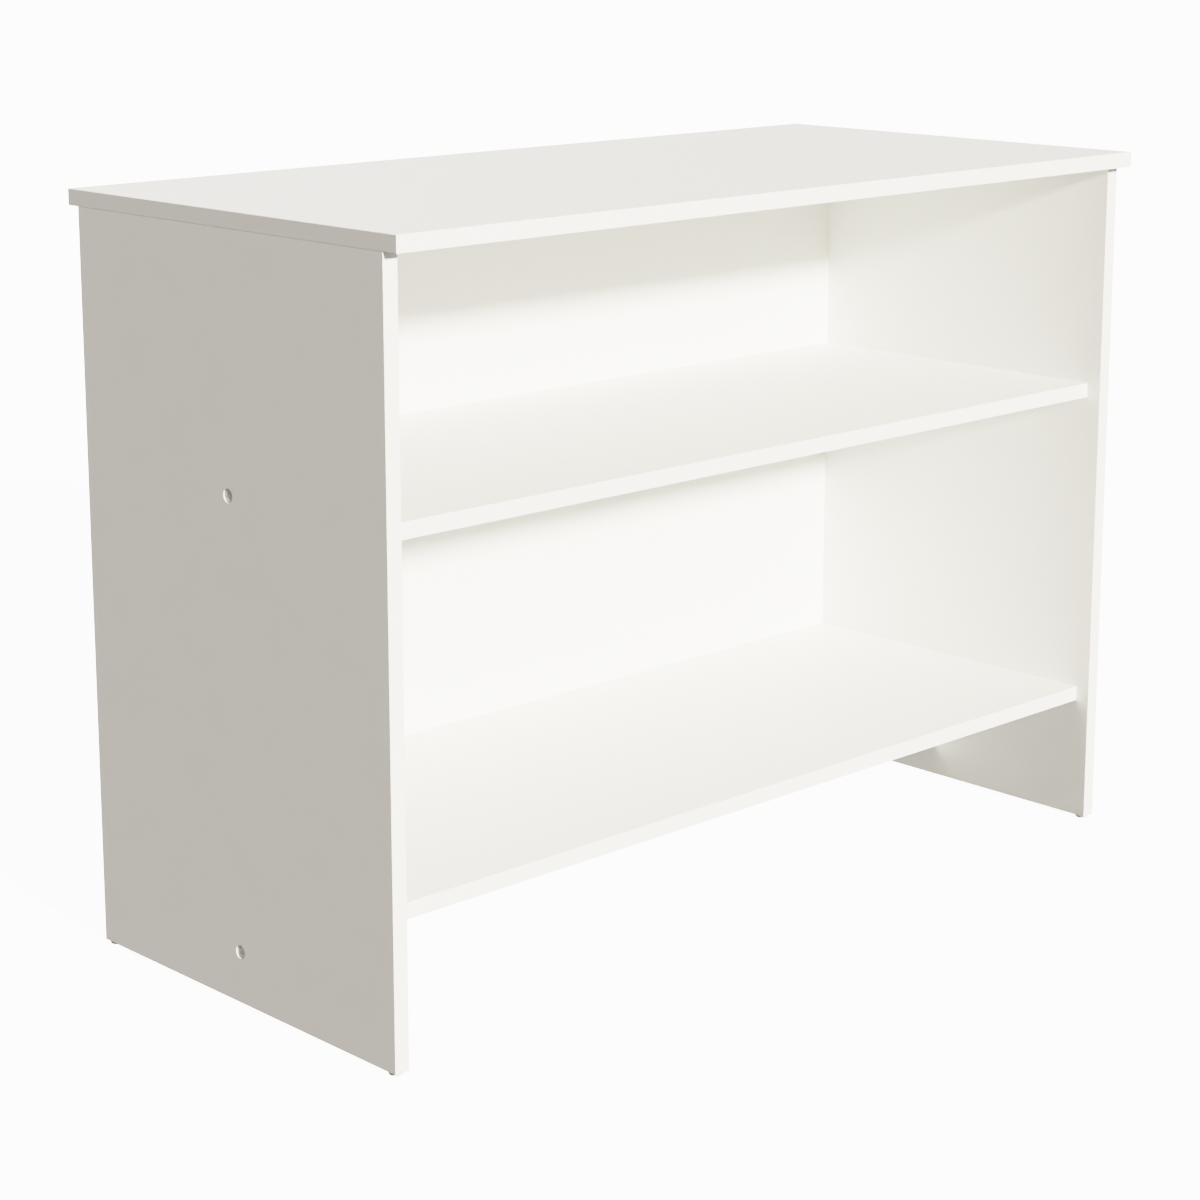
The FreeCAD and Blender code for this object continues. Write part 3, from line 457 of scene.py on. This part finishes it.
def zinc(name):
    """Bright zinc plating: cool grey with cloudy patches and a fine grain."""
    finish = Finish(name)
    patches = finish.noise((ZINC_PATCH,) * 3, detail=3.0, roughness=0.6)
    grain = finish.noise((ZINC_GRAIN,) * 3, detail=2.0)
    finish.set(
        Base_Color=finish.ramp(patches, *ZINC_TONES),
        Metallic=1.0,
        Roughness=finish.remap(patches, *ZINC_ROUGHNESS),
        Normal=finish.bump(grain, ZINC_GRAIN_DEPTH),
    )
    return finish.material


def casting(name):
    """Dull zinc die casting, lightly pitted."""
    finish = Finish(name)
    skin = finish.noise((CAST_GRAIN,) * 3, detail=3.0, roughness=0.65)
    pits = finish.cells((CAST_PIT,) * 3)
    pit = finish.math("LESS_THAN", pits.outputs["Distance"], CAST_PIT_REACH)
    stain = finish.noise((CAST_STAIN,) * 3, detail=2.0)
    finish.set(
        Base_Color=finish.blend(pit, finish.ramp(stain, *CAST_TONES), CAST_PIT_TONE),
        Metallic=1.0,
        Roughness=finish.remap(skin, *CAST_ROUGHNESS),
        Normal=finish.bump(finish.math("SUBTRACT", skin, pit), CAST_DEPTH),
    )
    return finish.material


def drawn_steel(name):
    """Plain nail steel with fine marks from drawing and a little dark oil."""
    finish = Finish(name)
    rings = finish.noise(long_grain(Y_AXIS, *STEEL_RING), detail=2.0)
    oil = finish.noise((STEEL_OIL,) * 3, detail=3.0)
    finish.set(
        Base_Color=finish.ramp(oil, *STEEL_TONES),
        Metallic=1.0,
        Roughness=finish.remap(rings, *STEEL_ROUGHNESS),
        Normal=finish.bump(rings, STEEL_RING_DEPTH),
    )
    return finish.material


def moulded_plastic(name, light, dark, roughness):
    """Moulded plastic: a fine spark-eroded texture and slow flow marks."""
    finish = Finish(name)
    spark = finish.noise((SPARK,) * 3, detail=2.0, roughness=0.6)
    flow = finish.noise((FLOW,) * 3, detail=2.0)
    finish.set(
        Base_Color=finish.blend(finish.remap(flow, 0.0, 1.0), light, dark),
        Roughness=finish.remap(spark, roughness - PLASTIC_SPREAD, roughness + PLASTIC_SPREAD),
        Normal=finish.bump(spark, SPARK_DEPTH),
    )
    return finish.material


def dress(names, material):
    for name in names:
        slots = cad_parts[name].data.materials
        slots.clear()
        slots.append(material)


def starting(*prefixes):
    return [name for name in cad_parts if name.startswith(prefixes)]


def dress_hutch():
    for name in ("top_panel", "middle_shelf", "bottom_shelf"):
        dress([name], board(name, Z_AXIS))
    for name in ("left_side_panel", "right_side_panel"):
        dress([name], board(name, X_AXIS, holes=True))
    dress(["centre_rail"], board("centre_rail", Y_AXIS))
    dress(["back_panel"], board("back_panel", Y_AXIS, core=fibreboard))
    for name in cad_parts:
        if name.endswith("_edge_band"):
            dress([name], edge_band(name))
    lying = ["middle_shelf_dowels", "bottom_shelf_dowels", "rail_end_dowels"]
    dress(lying, beech("beech_along_x", X_AXIS))
    dress(["rail_top_dowels", "top_panel_dowels"], beech("beech_along_z", Z_AXIS))
    dress(starting("top_bracket", "bracket_", "side_screws", "cam_bolts"), zinc("zinc"))
    dress(["cam_locks"], casting("cam_casting"))
    dress(["back_panel_nails", "glide_pins"], drawn_steel("nail_steel"))
    # The caps' grey is painted shade for the screw recess; the plastic itself is near white.
    dress(["side_screw_caps"], moulded_plastic("cap_grey_painted_shade", CAP_LIGHT_WITH_PAINTED_SHADE, CAP_DARK_WITH_PAINTED_SHADE, CAP_ROUGHNESS))
    nylon = moulded_plastic("glide_nylon", GLIDE_LIGHT, GLIDE_DARK, GLIDE_ROUGHNESS)
    dress(starting("glide_front", "glide_rear"), nylon)


# ---------------------------------------------------------------- the scene

make_camera()
make_room()
make_floor()
make_lamp(**KEY_LAMP)
make_lamp(**REAR_LAMP)
dress_hutch()

view = bpy.context.scene.view_settings
view.view_transform = "Filmic"
view.look = "High Contrast"
